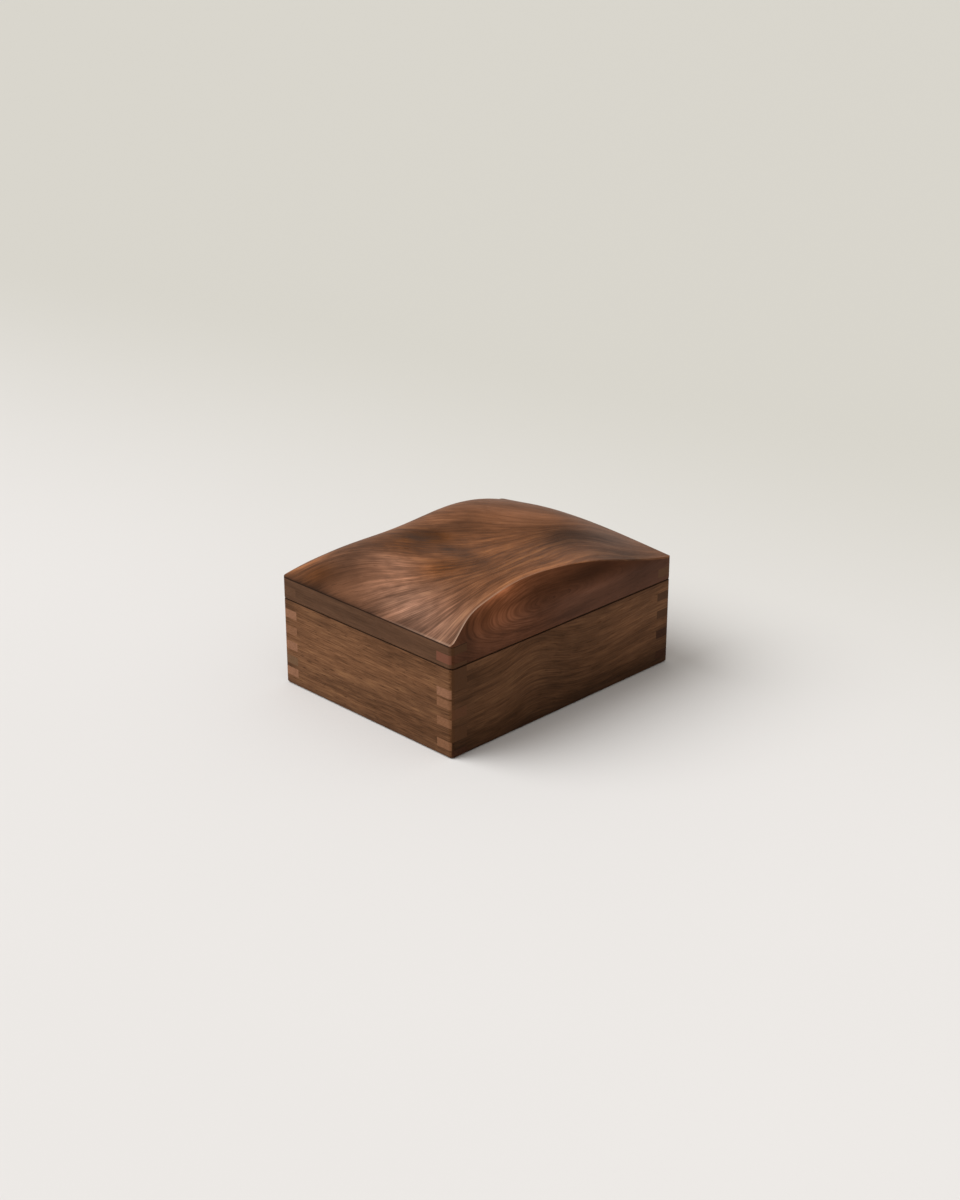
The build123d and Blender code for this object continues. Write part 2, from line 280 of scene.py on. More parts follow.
# The brass: sizes of the brushing lines and of the tarnish, and its colour where it is dull. Brushing
# lines are a few hundredths of a millimetre wide; they are drawn five times as wide, so that they show
BRUSHING = (12 * MM, 0.2 * MM, 0.2 * MM)
TARNISH = (9 * MM, 6 * MM, 6 * MM)
TARNISH_EDGE, TARNISH_DEPTH, DULL_BRASS = (0.4, 0.75), 0.6, 0.55
BRUSHED_RELIEF = 0.02 * MM

# The screws: how far a head stands off the middle of the seam, its arris, the slot's depth and reach, and
# the first slot's turn in degrees, with what is added for the next screw, the left hinge and the lid
HEAD_OFFSET, HEAD_ARRIS = 0.1 * MM, 0.04 * MM
SLOT_DEPTH, SLOT_REACH = 0.55 * MM, 1.2
FIRST_TURN, NEXT_TURN, LEFT_TURN, LID_TURN = 25, 47, 31, 68
SCREW_STEPS = 32
SCREW_SHARP_ANGLE = math.radians(30)
MERGE_DISTANCE = 0.001 * MM

# The floor in metres: its radius, its mottle, and where along its diagonal its painted shade turns it
# darker
FLOOR_RADIUS, FLOOR_SIDES, FLOOR_MOTTLE = 8.0, 96, 0.3
FLOOR_TURN, FLOOR_FADE = 0.2, (-0.10, 0.65)
MOTTLED_FLOOR, FAR_FLOOR = 0.97, (0.80, 0.80, 0.75)
# The light: tint of the even light, where the key light comes from, and its spread in degrees
SKY_TINT = (1.0, 0.95, 0.90)
KEY_DIRECTION, KEY_SPREAD = (-0.62, 0.60, 0.95), 50
# The photograph's view: the camera's place in metres, and its heading, tilt and roll in degrees
CAMERA_PLACE = (-0.8868, -0.8910, 0.5974)
CAMERA_ANGLES = (45.056, 23.489, 0.045)
SENSOR_WIDTH = 36


def linear(hex_colour):
    """An sRGB hex colour as linear red, green and blue."""
    shares = [int(hex_colour[place:place + 2], 16) / 255 for place in (0, 2, 4)]
    return tuple(s / 12.92 if s <= 0.04045 else ((s + 0.055) / 1.055) ** 2.4 for s in shares)


def length_setting(name, description, millimetres, least=0.0):
    """A length that the user can change, with its default and its least value in millimetres."""
    return FloatProperty(
        name=name, description=description, default=millimetres * MM, min=least * MM, unit="LENGTH"
    )


def colour_setting(name, description, hex_colour):
    """A colour that the user can change, with its default in sRGB hex."""
    return FloatVectorProperty(
        name=name, description=description, default=linear(hex_colour), subtype="COLOR", min=0, max=1
    )


class WalnutSettings(bpy.types.PropertyGroup):
    """Colours and grain of the walnut."""

    dark: colour_setting("Dark streaks", "Heartwood in the darkest bands", "352215")
    deep: colour_setting("Deep brown", "Heartwood between the bands", "513521")
    middle: colour_setting("Middle brown", "The wood's usual colour", "6c4a32")
    light: colour_setting("Light brown", "Heartwood in the palest bands", "8d6645")
    crown_red: colour_setting("Crown red", "The redder wood of the carved top", "8d5a40")
    fibre_width: length_setting("Fibre width", "Width of the finest streaks", 0.7, 0.1)
    pore_length: length_setting("Pore length", "Length of the open pores", 7, 1)
    band_width: length_setting("Band width", "Width of the broad colour bands", 16, 2)
    sheen: colour_setting("Sheen", "Warm reflection of the oiled fibres", "b88a63")
    # The rubbed-edge colour is also a painted highlight along the ridge and the crown's left edge
    worn_and_highlight: colour_setting("Rubbed edges", "Wood rubbed pale along the ridge and the edges", "b39581")
    # Joint lines: painted shade, with oil and dust, in the lid's seam and the crown's glue line
    joint_dust_and_shade: colour_setting("Joint lines", "Oil and dust gathered in the seam and glue lines", "1c0f08")
    roughness: FloatProperty(
        name="Roughness", description="Oiled and rubbed wood", default=0.48, subtype="FACTOR", min=0, max=1
    )


class EndGrainSettings(bpy.types.PropertyGroup):
    """Tones of the end grain in the joints."""

    pale: colour_setting("Pale", "The palest ends, pink from the oil", "8b634b")
    tan: colour_setting("Tan", "Ends of the front board", "7e583f")
    grey: colour_setting("Grey", "A greyer end", "6a503a")
    lid: colour_setting("Lid", "End of the lid's front rail", "6d4535")
    # Russet, umber and dark are end grain with painted shade, for the ends on the shaded front face
    russet: colour_setting("Russet", "Ends in the shade", "5c3c29")
    umber: colour_setting("Umber", "Darker ends in the shade", "4e3422")
    dark: colour_setting("Dark", "The darkest ends, low on the box", "382116")


class CrownSettings(bpy.types.PropertyGroup):
    """Sizes of the carved crown."""

    height: length_setting("Relief", "Height of the carving over its edge", 22)
    lip: length_setting("Lip", "Upright edge under the carving", 0.5)
    roll_radius: length_setting("Roll radius", "Radius of the rounded front", 31.4, 1)
    corner_radius: length_setting("Corner radius", "Radius of the upright corners", 3)
    arris: length_setting("Arris", "Rounding of the crown's edge", 0.45, 0.01)
    ridge_start: length_setting("Ridge softness left", "Blend of the ridge at the near corner", 0.3, 0.01)
    ridge_end: length_setting("Ridge softness right", "Blend of the ridge at the right end", 4.3, 0.01)
    columns: IntProperty(name="Columns", description="Steps across the width", default=120, min=20)
    rows: IntProperty(name="Rows", description="Steps from the ridge to the back", default=90, min=20)


class HingeSettings(bpy.types.PropertyGroup):
    """Finish and screws of the brass hinges."""

    brass: colour_setting("Brass", "Brushed brass", "c9a25c")
    screw_head_radius: length_setting("Screw head radius", "Radius of the countersunk head", 2.1)
    screw_length: length_setting("Screw length", "Length of the screw in the wood", 9.5)
    screw_radius: length_setting("Screw radius", "Radius of the plain shank", 1.05)
    slot_width: length_setting("Slot width", "Width of the driver slot", 0.5)
    end_distance: length_setting("End distance", "From the leaf's end to its first screw", 7)
    barrel_radius: length_setting("Barrel radius", "Radius of the knuckles", 2.25)


class StageSettings(bpy.types.PropertyGroup):
    """Floor, light and camera."""

    floor: colour_setting("Floor", "Matt pale floor", "dbdad9")
    backdrop: colour_setting("Backdrop", "What the camera sees past the floor", "dcd9d3")
    key_strength: FloatProperty(
        name="Key light", description="Strength of the main light", default=2.75, min=0
    )
    sky_strength: FloatProperty(
        name="Sky light", description="Strength of the even light", default=0.56, min=0
    )
    lens: FloatProperty(name="Lens", description="Focal length on a 36 mm frame", default=62.44, min=10)


def add_node(tree, kind, *feeds, inputs=None, **settings):
    """Adds a node, sets its properties and feeds its inputs, in order or by name. A node or socket is
    linked, None leaves an input as it is, and anything else is its value, a colour with or without its
    alpha."""
    node = tree.nodes.new(kind)
    for name, value in settings.items():
        setattr(node, name, value)
    pairs = list(zip([s for s in node.inputs if s.enabled], feeds))
    pairs += [(node.inputs[name], feed) for name, feed in (inputs or {}).items()]
    for socket, feed in pairs:
        if isinstance(feed, bpy.types.Node):
            feed = next(s for s in feed.outputs if s.enabled)
        if isinstance(feed, bpy.types.NodeSocket):
            tree.links.new(feed, socket)
        elif feed is not None:
            socket.default_value = (*feed, 1) if socket.type == "RGBA" and len(feed) == 3 else feed
    return node


# Settings of a map range that rises and ends softly
SMOOTH = {"interpolation_type": "SMOOTHSTEP"}


def new_material(name):
    """An empty node material, as (material, node tree)."""
    material = bpy.data.materials.new(name)
    material.use_nodes = True
    material.node_tree.nodes.clear()
    return material, material.node_tree


def cells(*sizes):
    """The stretch of a pattern whose features have these sizes in metres along its axes."""
    return tuple(1 / size for size in sizes)


def patches(tree, place, size, seed, detail):
    """Soft random patches, from 0 to 1, that have a size in metres along the three axes."""
    scaled = add_node(tree, "ShaderNodeVectorMath", place, cells(*size), operation="MULTIPLY")
    return add_node(tree, "ShaderNodeTexNoise", scaled, seed, 1.0, detail, noise_dimensions="4D")


def grain_place(tree, axis):
    """Coordinates along, across and into the grain, for a board whose grain runs along X or Y."""
    spot = add_node(tree, "ShaderNodeTexCoord").outputs["Object"]
    x, y, z = add_node(tree, "ShaderNodeSeparateXYZ", spot).outputs
    return (x, z, y) if axis == "X" else (y, z, x)


def spot_rise(tree, across, up, centre, reach):
    """A bell-shaped rise of 1 at a centre, that dies away over its reach both ways."""
    place = add_node(tree, "ShaderNodeCombineXYZ", across, up, 0.0)
    offset = add_node(tree, "ShaderNodeVectorMath", place, (*centre, 0), operation="SUBTRACT")
    scaled = add_node(tree, "ShaderNodeVectorMath", offset, (*cells(*reach), 1), operation="MULTIPLY")
    square = add_node(tree, "ShaderNodeVectorMath", scaled, scaled, operation="DOT_PRODUCT")
    return add_node(tree, "ShaderNodeMath", 1 / math.e, square, operation="POWER")


def walnut_figure(tree, along, across, into, seed, walnut, wander=BOARD_WANDER):
    """The figure of oiled walnut, layer by layer, each stretched along the grain to its real size. The
    grain wanders to the sides by half of a length at most."""
    straight = add_node(tree, "ShaderNodeCombineXYZ", along, across, into)
    drift = patches(tree, straight, GRAIN_DRIFT, seed, 1.0)
    wave = add_node(tree, "ShaderNodeMath", drift, 0.5, operation="SUBTRACT")
    across = add_node(tree, "ShaderNodeMath", wave, wander, across, operation="MULTIPLY_ADD")
    place = add_node(tree, "ShaderNodeCombineXYZ", along, across, into)
    band, fibre = walnut.band_width, walnut.fibre_width
    sizes = {
        "bands": (14 * band, band, band),
        "mottle": (11 * MM, 7 * MM, 7 * MM),
        "streaks": (70 * MM, 4.5 * MM, 4.5 * MM),
        "threads": (34 * MM, 1.7 * MM, 1.7 * MM),
        "fibres": (20 * fibre, fibre, fibre),
        # Real pores are a fifth of a millimetre wide; they are drawn three times as wide, to show
        "pores": (walnut.pore_length, 0.6 * MM, 0.6 * MM),
    }
    figure = {
        layer: patches(tree, place, size, seed + step + 1, 2.0)
        for step, (layer, size) in enumerate(sizes.items())
    }
    figure["pores"] = add_node(tree, "ShaderNodeMapRange", figure["pores"], *PORE_EDGE, **SMOOTH)
    rings = add_node(tree, "ShaderNodeMath", figure["bands"], GROWTH_LINES, operation="MULTIPLY")
    rings = add_node(tree, "ShaderNodeMath", rings, operation="FRACT")
    rise = add_node(tree, "ShaderNodeMapRange", rings, LINE_START, LINE_PEAK, **SMOOTH)
    fall = add_node(tree, "ShaderNodeMapRange", rings, LINE_PEAK, 1.0, 1.0, 0.0, **SMOOTH)
    figure["lines"] = add_node(tree, "ShaderNodeMath", rise, fall, operation="MULTIPLY")
    return figure


def board_colour(tree, figure, tones, weights, contrast=1.0):
    """Colour of a board from its figure, four tones from dark to light, the weight of each layer and the
    contrast of them all."""
    level = -sum(weights[layer] for layer in BLENDED_LAYERS) / 2
    for layer in BLENDED_LAYERS:
        level = add_node(
            tree, "ShaderNodeMath", figure[layer], weights[layer], level, operation="MULTIPLY_ADD"
        )
    level = add_node(tree, "ShaderNodeMath", level, contrast, 0.5, operation="MULTIPLY_ADD")
    ramp = add_node(tree, "ShaderNodeValToRGB", level)
    stops = ramp.color_ramp.elements
    for place, tone in zip(TONE_STOPS, tones):
        stops.new(place).color = (*tone, 1)
    stops.remove(stops[0])
    stops.remove(stops[-1])
    colour = ramp
    for layer in ("lines", "pores"):
        share = add_node(tree, "ShaderNodeMath", figure[layer], weights[layer], operation="MULTIPLY")
        colour = add_node(tree, "ShaderNodeMix", share, colour, tones[0], data_type="RGBA")
    return colour


def share_facing(tree, axis, low=0.6, high=0.8):
    """How far a face looks along an axis: 0 up to a low share of its normal, 1 from a high one."""
    facing = add_node(tree, "ShaderNodeTexCoord").outputs["Normal"]
    parts = add_node(tree, "ShaderNodeSeparateXYZ", facing).outputs
    turned = add_node(tree, "ShaderNodeMath", parts[axis], operation="ABSOLUTE")
    return add_node(tree, "ShaderNodeMapRange", turned, low, high, **SMOOTH)


def finger_tones(tree, up, base, height, fingers):
    """One end-grain tone for each finger of a joint, by its height."""
    ends = bpy.context.scene.keepsake_ends
    share = add_node(tree, "ShaderNodeMapRange", up, base, base + height)
    ramp = add_node(tree, "ShaderNodeValToRGB", share)
    ramp.color_ramp.interpolation = "CONSTANT"
    stops = ramp.color_ramp.elements
    stops[0].color = (*getattr(ends, fingers[0][1]), 1)
    for (below, _), (above, tone) in zip(fingers, fingers[1:]):
        stops.new((below + above) / 2).color = (*getattr(ends, tone), 1)
    stops.remove(stops[-1])
    return ramp


def finish_walnut(tree, colour, figure, walnut):
    """The oiled, hand-rubbed surface: a satin sheen, warmed by the fibres under it, over open pores and
    slightly raised fibres."""
    rough = walnut.roughness - MEAN_ROUGHENING
    for layer, factor in ROUGHENING:
        rough = add_node(tree, "ShaderNodeMath", figure[layer], factor, rough, operation="MULTIPLY_ADD")
    relief = add_node(tree, "ShaderNodeMath", figure["fibres"], 0.4, operation="MULTIPLY")
    relief = add_node(tree, "ShaderNodeMath", figure["pores"], -1.0, relief, operation="MULTIPLY_ADD")
    lifted = {"Strength": 0.35, "Distance": FIBRE_RELIEF, "Height": relief}
    bump = add_node(tree, "ShaderNodeBump", inputs=lifted)
    surface = {
        "Base Color": colour,
        "Roughness": rough,
        "Normal": bump,
        "IOR": 1.5,
        "Specular IOR Level": 0.08,
        "Specular Tint": walnut.sheen,
    }
    shader = add_node(tree, "ShaderNodeBsdfPrincipled", inputs=surface)
    add_node(tree, "ShaderNodeOutputMaterial", shader)


def tones_of(walnut, shade=1.0, red=0.0, grey=0.0):
    """The four tones of a board, darkened by a shade, turned towards the crown's red or towards grey."""
    pairs = zip(walnut.middle, walnut.crown_red)
    gains = [shade * (1 + red * (redder / part - 1)) for part, redder in pairs]
    tones = (walnut.dark, walnut.deep, walnut.middle, walnut.light)
    tones = [tuple(part * gain for part, gain in zip(tone, gains)) for tone in tones]
    return [tuple(part + grey * (max(tone) - part) for part in tone) for tone in tones]


def darkened_joints(tree, colour, walnut, shaded_glue_line):
    """Painted shade, with oil and dust, along the seam of the lid, and along the glue line under the
    crown.
    """
    spot = add_node(tree, "ShaderNodeTexCoord").outputs["Object"]
    height = add_node(tree, "ShaderNodeSeparateXYZ", spot).outputs["Z"]
    away = add_node(tree, "ShaderNodeMath", height, SEAM, operation="SUBTRACT")
    away = add_node(tree, "ShaderNodeMath", away, operation="ABSOLUTE")
    dust_and_shade = add_node(tree, "ShaderNodeMapRange", away, *SEAM_DUST_AND_SHADE, DUST_AND_SHADE_DEPTH, 0.0, **SMOOTH)
    level = share_facing(tree, "Z", *LEVEL_FACE)
    dust_and_shade = add_node(tree, "ShaderNodeMapRange", level, 0.0, 1.0, dust_and_shade, 0.0)
    if shaded_glue_line:
        low, high = (CROWN_LOW.z - reach for reach in GLUE_SHADE_BELOW)
        glue = add_node(tree, "ShaderNodeMapRange", height, low, high, 0.0, DUST_AND_SHADE_DEPTH, **SMOOTH)
        dust_and_shade = add_node(tree, "ShaderNodeMath", dust_and_shade, glue, operation="MAXIMUM")
    return add_node(tree, "ShaderNodeMix", dust_and_shade, colour, walnut.joint_dust_and_shade, data_type="RGBA")


def toned(tree, colour, along, up, places, corner, size):
    """A board's colour with its paler and darker places, given as shares of the board's size."""
    total = 0.0
    for share, level, reach, reach_up, tone in places:
        centre = corner[0] + share * size[0], corner[1] + level * size[1]
        rise = spot_rise(tree, along, up, centre, (reach * size[0], reach_up * size[1]))
        total = add_node(tree, "ShaderNodeMath", rise, tone, total, operation="MULTIPLY_ADD")
    gain = add_node(tree, "ShaderNodeMath", math.e, total, operation="POWER")
    return add_node(tree, "ShaderNodeVectorMath", colour, inputs={"Scale": gain}, operation="SCALE")


def walnut_board(
    name, axis, seed, walnut, weights, shade=1.0, grey=0.0, fingers=None, warp=None, places=()
):
    """Flat-sawn walnut board, planed and oiled: quiet bands along its length with fine dark pores, and
    end grain where a joint's fingers come through."""
    material, tree = new_material(name)
    along, across, into = grain_place(tree, axis)
    up = across
    if warp:
        across = warp(tree, along, across)
    figure = walnut_figure(tree, along, across, into, seed, walnut)
    colour = board_colour(tree, figure, tones_of(walnut, shade, grey=grey), weights)
    if places:
        corner = CASE_LOW.x if axis == "X" else CASE_LOW.y, CASE_LOW.z
        size = BOX_WIDTH if axis == "X" else BOX_DEPTH, CASE_HEIGHT
        colour = toned(tree, colour, along, up, places, corner, size)
    if fingers:
        end_colour = finger_tones(tree, up, *fingers)
    else:
        end_colour = tones_of(walnut, shade * END_SHADE, grey=grey)[2]
    deep = tones_of(walnut, shade)[1]
    cross = add_node(tree, "ShaderNodeCombineXYZ", along, up, into)
    rays = patches(tree, cross, END_RAYS, seed + 9, 2.0)
    rays = add_node(tree, "ShaderNodeMapRange", rays, *RAY_EDGE, 0.0, RAY_DEPTH)
    end_colour = add_node(tree, "ShaderNodeMix", rays, end_colour, deep, data_type="RGBA")
    end_share = share_facing(tree, axis)
    colour = add_node(tree, "ShaderNodeMix", end_share, colour, end_colour, data_type="RGBA")
    colour = darkened_joints(tree, colour, walnut, name.endswith("rail"))
    finish_walnut(tree, colour, figure, walnut)
    return material


def arched_front(tree, along, across):
    """Grain of the front board: lines that arch over a swelling left of the middle."""
    for share, reach, lift in FRONT_ARCHES:
        centre = CASE_LOW.x + share * BOX_WIDTH, 0
        rise = spot_rise(tree, along, 0.0, centre, (reach * BOX_WIDTH, 1))
        across = add_node(tree, "ShaderNodeMath", rise, lift, across, operation="MULTIPLY_ADD")
    return across


def lid_front(tree, x, z, into, walnut):
    """Figure and colour of the lid's front, which runs over the front rail and the rolled front of the
    crown: nested hooks round a dark heart, brighter under the left end of the ridge, that run out to the
    right. The ovals close again into the wood."""
    eye_x, eye_z = CROWN_LOW.x + EYE_SHARE * BOX_WIDTH, CROWN_LOW.z + EYE_LIFT
    run = add_node(tree, "ShaderNodeMath", x, eye_x, operation="SUBTRACT")
    left = add_node(tree, "ShaderNodeMath", run, -EYE_LEFT, operation="MULTIPLY")
    run = add_node(tree, "ShaderNodeMath", run, EYE_RIGHT, operation="MULTIPLY")
    run = add_node(tree, "ShaderNodeMath", run, left, operation="MAXIMUM")
    rise = add_node(tree, "ShaderNodeMath", z, eye_z, operation="SUBTRACT")
    away = add_node(tree, "ShaderNodeCombineXYZ", run, rise, into)
    ovals = add_node(tree, "ShaderNodeVectorMath", away, operation="LENGTH").outputs["Value"]
    figure = walnut_figure(tree, x, ovals, 0.0, 31.0, walnut, FRONT_WANDER)
    hooks_middle = CROWN_LOW.x + HOOKS_SHARE * BOX_WIDTH, CROWN_LOW.z
    hooks = spot_rise(tree, x, z, hooks_middle, (HOOKS_REACH * BOX_WIDTH, HOOKS_HEIGHT))
    contrast = add_node(
        tree, "ShaderNodeMath", hooks, HOOKS_CONTRAST, FRONT_CONTRAST, operation="MULTIPLY_ADD"
    )
    colour = board_colour(tree, figure, tones_of(walnut, FRONT_SHADE, FRONT_RED), FRONT_FIGURE, contrast)
    corner = CROWN_LOW.x, RAIL_LOW.z
    size = BOX_WIDTH, CROWN_HIGH.z - RAIL_LOW.z
    colour = toned(tree, colour, x, z, LID_FRONT_PLACES, corner, size)
    left, right = (CROWN_LOW.x + share * BOX_WIDTH for share in GREY_SHARES)
    greyer = add_node(tree, "ShaderNodeMapRange", x, left, right, 1.0, GREY_SATURATION)
    low, high = CROWN_LOW.z, CROWN_LOW.z + AMBER_LIFT
    warmth = add_node(tree, "ShaderNodeMapRange", z, low, high, greyer, AMBER_SATURATION)
    warmer = {"Color": colour, "Saturation": warmth}
    return figure, add_node(tree, "ShaderNodeHueSaturation", inputs=warmer)


def front_rail_walnut(walnut):
    """The lid's front rail: the crown's front figure runs down over it, and the end of the left rail
    shows at the near corner."""
    material, tree = new_material("walnut_front_rail")
    x, z, y = grain_place(tree, "X")
    into = add_node(tree, "ShaderNodeMath", y, CROWN_LOW.y, operation="SUBTRACT")
    figure, colour = lid_front(tree, x, z, into, walnut)
    end_colour = bpy.context.scene.keepsake_ends.lid
    end_share = share_facing(tree, "X")
    colour = add_node(tree, "ShaderNodeMix", end_share, colour, end_colour, data_type="RGBA")
    colour = darkened_joints(tree, colour, walnut, False)
    finish_walnut(tree, colour, figure, walnut)
    return material


def linked(name, data):
    """A new object in the scene, made of a mesh, a light or a camera."""
    piece = bpy.data.objects.new(name, data)
    bpy.context.scene.collection.objects.link(piece)
    return piece


def mesh_from_shape(name, shape):
    """A new mesh that takes over an edited shape."""
    mesh = bpy.data.meshes.new(name)
    shape.to_mesh(mesh)
    shape.free()
    return mesh


def dress(node_name, material):
    """Gives a CAD node a material."""
    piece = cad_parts[node_name]
    piece.data.materials.clear()
    piece.data.materials.append(material)


def spline_value(places, values, at):
    """A natural cubic spline through rows of values, one row per place, read at many other places."""
    places, values = np.asarray(places, float), np.asarray(values, float)
    steps = np.diff(places)
    count = len(places)
    system = np.eye(count)
    bends = np.zeros_like(values)
    for i in range(1, count - 1):
        system[i, i - 1:i + 2] = steps[i - 1], 2 * (steps[i - 1] + steps[i]), steps[i]
        slope_before = (values[i] - values[i - 1]) / steps[i - 1]
        slope_after = (values[i + 1] - values[i]) / steps[i]
        bends[i] = 6 * (slope_after - slope_before)
    curves = np.linalg.solve(system, bends)
    span = np.clip(np.searchsorted(places, at) - 1, 0, count - 2)
    wide = (slice(None),) + (None,) * (values.ndim - 1)
    after, before, step = (at - places[span])[wide], (places[span + 1] - at)[wide], steps[span][wide]
    bend = (curves[span] * before**3 + curves[span + 1] * after**3) / (6 * step)
    low = (values[span] / step - curves[span] * step / 6) * before
    high = (values[span + 1] / step - curves[span + 1] * step / 6) * after
    return bend + low + high


def plan_shares(x, y):
    """Places on the crown as shares of its width and its depth."""
    return (x - CROWN_LOW.x) / BOX_WIDTH, (y - CROWN_LOW.y) / BOX_DEPTH


class CrownShape:
    """The carved crown's surface: a height over each point of the plan."""

    def __init__(self, settings):
        self.settings = settings
        self.edge = CROWN_LOW.z + settings.lip
        self.places = [place for place, _ in CROWN_SECTION_SHARES]
        self.heights = np.array([heights for _, heights in CROWN_SECTION_SHARES])

    def carved(self, x, y):
        """Height of the carving behind the ridge, before the front is rolled off."""
        across, behind = plan_shares(x, y)
        by_column = spline_value(CROWN_WIDTH_SHARES, self.heights.T, np.clip(across, 0, 1))
        share = np.array([
            spline_value(self.places, column, np.array([place]))[0]
            for column, place in zip(by_column, behind)
        ])
        return self.edge + self.settings.height * share

    def rolled(self, y):
        """Height of the rounded front, which ends in a level."""
        radius = self.settings.roll_radius
        inward = np.clip(radius - (y - CROWN_LOW.y), 0, radius)
        return self.edge + np.sqrt(radius**2 - inward**2)

    def softness(self, x):
        """How far the ridge is blended, more from the middle to the right."""
        share = np.clip(((x - CROWN_LOW.x) / BOX_WIDTH - 0.5) / 0.5, 0, 1)
        start, end = self.settings.ridge_start, self.settings.ridge_end
        return start + (end - start) * share

    def ridge(self, x):
        """Distance from the front at which the rounded front meets the carving, for each x."""
        low, high = np.zeros_like(x), np.full_like(x, self.settings.roll_radius)
        for _ in range(RIDGE_HALVINGS):
            middle = (low + high) / 2
            below = self.rolled(CROWN_LOW.y + middle) < self.carved(x, CROWN_LOW.y + middle)
            low, high = np.where(below, middle, low), np.where(below, high, middle)
        return low

    def from_edge(self, x, y):
        """Distance from the sides and the back, round the upright corners."""
        inside = np.minimum(np.minimum(x - CROWN_LOW.x, CROWN_HIGH.x - x), CROWN_HIGH.y - y)
        radius = self.settings.corner_radius
        left, right = CROWN_LOW.x + radius, CROWN_HIGH.x - radius
        beyond_x = np.maximum(np.maximum(left - x, x - right), 0)
        beyond_y = np.maximum(y - (CROWN_HIGH.y - radius), 0)
        rounded = radius - np.hypot(beyond_x, beyond_y)
        return np.where((beyond_x > 0) & (beyond_y > 0), rounded, inside)

    def height(self, x, y):
        """The finished surface, with the ridge blended and the edge's arris rounded."""
        carved, rolled, soft = self.carved(x, y), self.rolled(y), self.softness(x)
        overlap = np.clip(soft - np.abs(carved - rolled), 0, None) / soft
        height = np.minimum(carved, rolled) - overlap**2 * soft / 4
        arris = self.settings.arris
        near = np.clip(1 - self.from_edge(x, y) / arris, 0, 1)
        lowered = height - arris * (1 - np.sqrt(1 - near**2))
        return np.maximum(lowered, CROWN_LOW.z + LEAST_EDGE)


def round_corners(x, y, radius):
    """Moves points of a rectangle's corner squares into quarter discs, which rounds its outline."""
    centre_x, centre_y = (CROWN_LOW.x + CROWN_HIGH.x) / 2, (CROWN_LOW.y + CROWN_HIGH.y) / 2
    half_x, half_y = BOX_WIDTH / 2 - radius, BOX_DEPTH / 2 - radius
    side_x, side_y = np.sign(x - centre_x), np.sign(y - centre_y)
    past_x = np.clip(np.abs(x - centre_x) - half_x, 0, radius) / radius
    past_y = np.clip(np.abs(y - centre_y) - half_y, 0, radius) / radius
    round_x = past_x * np.sqrt(1 - past_y**2 / 2)
    round_y = past_y * np.sqrt(1 - past_x**2 / 2)
    return x + side_x * (round_x - past_x) * radius, y + side_y * (round_y - past_y) * radius


def edge_steps(length, arris, count):
    """Distances from an edge, close together over its arris and even after it."""
    close = arris * np.array(ARRIS_STEPS)
    return np.concatenate([close, np.linspace(ARRIS_END * arris, length, count)])


def crown_grid(shape):
    """Rows and columns of points over the crown's plan, with one row along the ridge."""
    settings = shape.settings
    half = edge_steps(BOX_WIDTH / 2, settings.arris, settings.columns // 2)
    columns = np.concatenate([CROWN_LOW.x + half, CROWN_HIGH.x - half[-2::-1]])
    ridge = shape.ridge(columns)
    turn = np.arccos(1 - ridge / settings.roll_radius)
    front_shares = 1 - (1 - np.linspace(0, 1, FRONT_ROWS)) ** FRONT_CROWDING
    front = settings.roll_radius * (1 - np.cos(turn[None, :] * front_shares[:, None]))
    back_steps = np.linspace(0, 1, settings.rows) ** BACK_CROWDING
    tail = edge_steps(4 * settings.arris, settings.arris, 2)[::-1]
    reach = BOX_DEPTH - tail[0]
    behind = ridge[None, :] + (reach - ridge[None, :]) * back_steps[1:, None]
    last = np.repeat(BOX_DEPTH - tail[1:, None], len(columns), axis=1)
    # Sorted, because the edge's steps start before the last of those behind the ridge
    depth = np.sort(np.concatenate([front, behind, last]), axis=0)
    x = np.repeat(columns[None, :], len(depth), axis=0)
    return x, CROWN_LOW.y + depth, FRONT_ROWS - 1


def across_grain(x, y):
    """Distance across the grain at each point of the top, in millimetres: a thin-plate surface through
    the grain lines."""
    knots = np.array([place for _, line in GRAIN_LINES for place in line])
    levels = np.array([level for level, line in GRAIN_LINES for _ in line], float)
    size = np.array([1.0, BOX_DEPTH / BOX_WIDTH])

    def rise(points):
        square = ((points[:, None, :] - knots[None, :, :]) * size) ** 2
        square = square.sum(axis=2) + 1e-9
        return square * np.log(square)

    def plane(points):
        return np.hstack([np.ones((len(points), 1)), points])

    count = len(knots)
    system = np.zeros((count + 3, count + 3))
    system[:count, :count] = rise(knots) + np.eye(count) * GRAIN_SMOOTHING
    system[:count, count:] = plane(knots)
    system[count:, :count] = plane(knots).T
    factors = np.linalg.solve(system, np.concatenate([levels, np.zeros(3)]))
    points = np.stack(plan_shares(x, y), axis=1)
    return rise(points) @ factors[:count] + plane(points) @ factors[count:]


def over_spots(spots, x, y):
    """Sum of the bell-shaped places on the top, at each point."""
    total = np.zeros(len(x))
    across, behind = plan_shares(x, y)
    for a, b, reach_a, reach_b, turn, height in spots:
        run = across - a
        rise = (behind - b) * BOX_DEPTH / BOX_WIDTH
        angle = math.radians(turn)
        lengthwise = (run * math.cos(angle) + rise * math.sin(angle)) / reach_a
        sideways = (rise * math.cos(angle) - run * math.sin(angle)) / reach_b
        total += height * np.exp(-lengthwise**2 - sideways**2)
    return total


